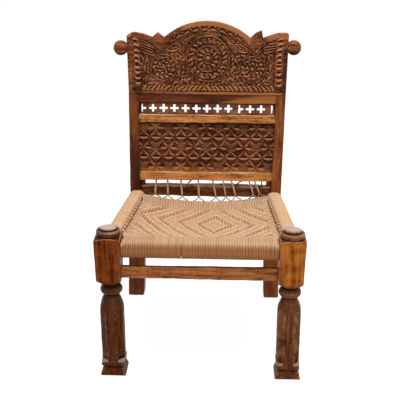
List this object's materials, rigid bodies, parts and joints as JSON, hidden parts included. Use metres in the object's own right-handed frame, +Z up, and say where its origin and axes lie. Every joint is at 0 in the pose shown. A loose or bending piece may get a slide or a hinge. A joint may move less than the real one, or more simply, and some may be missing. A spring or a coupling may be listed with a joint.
{
  "type": "carved side chair",
  "caption": "Low carved wooden chair without arms: rope-woven seat laced at the rear, turned and octagonal front legs, panelled back with a pierced strip and an arched carved crest.",
  "frame": {"origin": "on the floor, at the middle of the chair's width and depth", "axes": "+Z up, the front of the seat towards -Y, the sitter's right hand at -X"},
  "size_m": [0.589, 0.588, 0.927],
  "materials": {
    "carved_wood": "dark carved hardwood, worn pale on the high edges",
    "rail_wood": "golden brown hardwood, hand rubbed",
    "dark_wood": "dark hardwood, worn pale on top",
    "leg_wood": "reddish brown hardwood with worn edges",
    "peg_wood": "brown end grain",
    "rope": "twisted natural fibre rope, dry and fuzzy"
  },
  "bodies": {
    "root": {"front_leg_left": "leg_wood", "front_leg_right": "leg_wood", "rear_post_left": "leg_wood", "rear_post_right": "leg_wood", "seat_rail_front": "dark_wood", "seat_rail_left": "dark_wood", "seat_rail_right": "dark_wood", "seat_rail_rear": "dark_wood", "stretcher_front": "rail_wood", "stretcher_left": "rail_wood", "stretcher_right": "rail_wood", "stretcher_rear": "rail_wood", "lower_back_rail": "rail_wood", "middle_back_rail": "rail_wood", "upper_back_rail": "rail_wood", "carved_panel": "carved_wood", "pierced_strip": "carved_wood", "crest_board": "carved_wood", "peg_front_left": "peg_wood", "peg_front_right": "peg_wood", "peg_rear_left": "peg_wood", "peg_rear_right": "peg_wood", "peg_front_rail_left": "peg_wood", "peg_front_rail_right": "peg_wood", "peg_rear_rail_left": "peg_wood", "peg_rear_rail_right": "peg_wood", "peg_crest_left": "peg_wood", "peg_crest_right": "peg_wood", "front_rail_wrap": "rope", "left_rail_wrap": "rope", "right_rail_wrap": "rope", "woven_seat": "rope", "seat_edge_cord": "rope", "lacing_cord": "rope"}
  },
  "joints": []
}
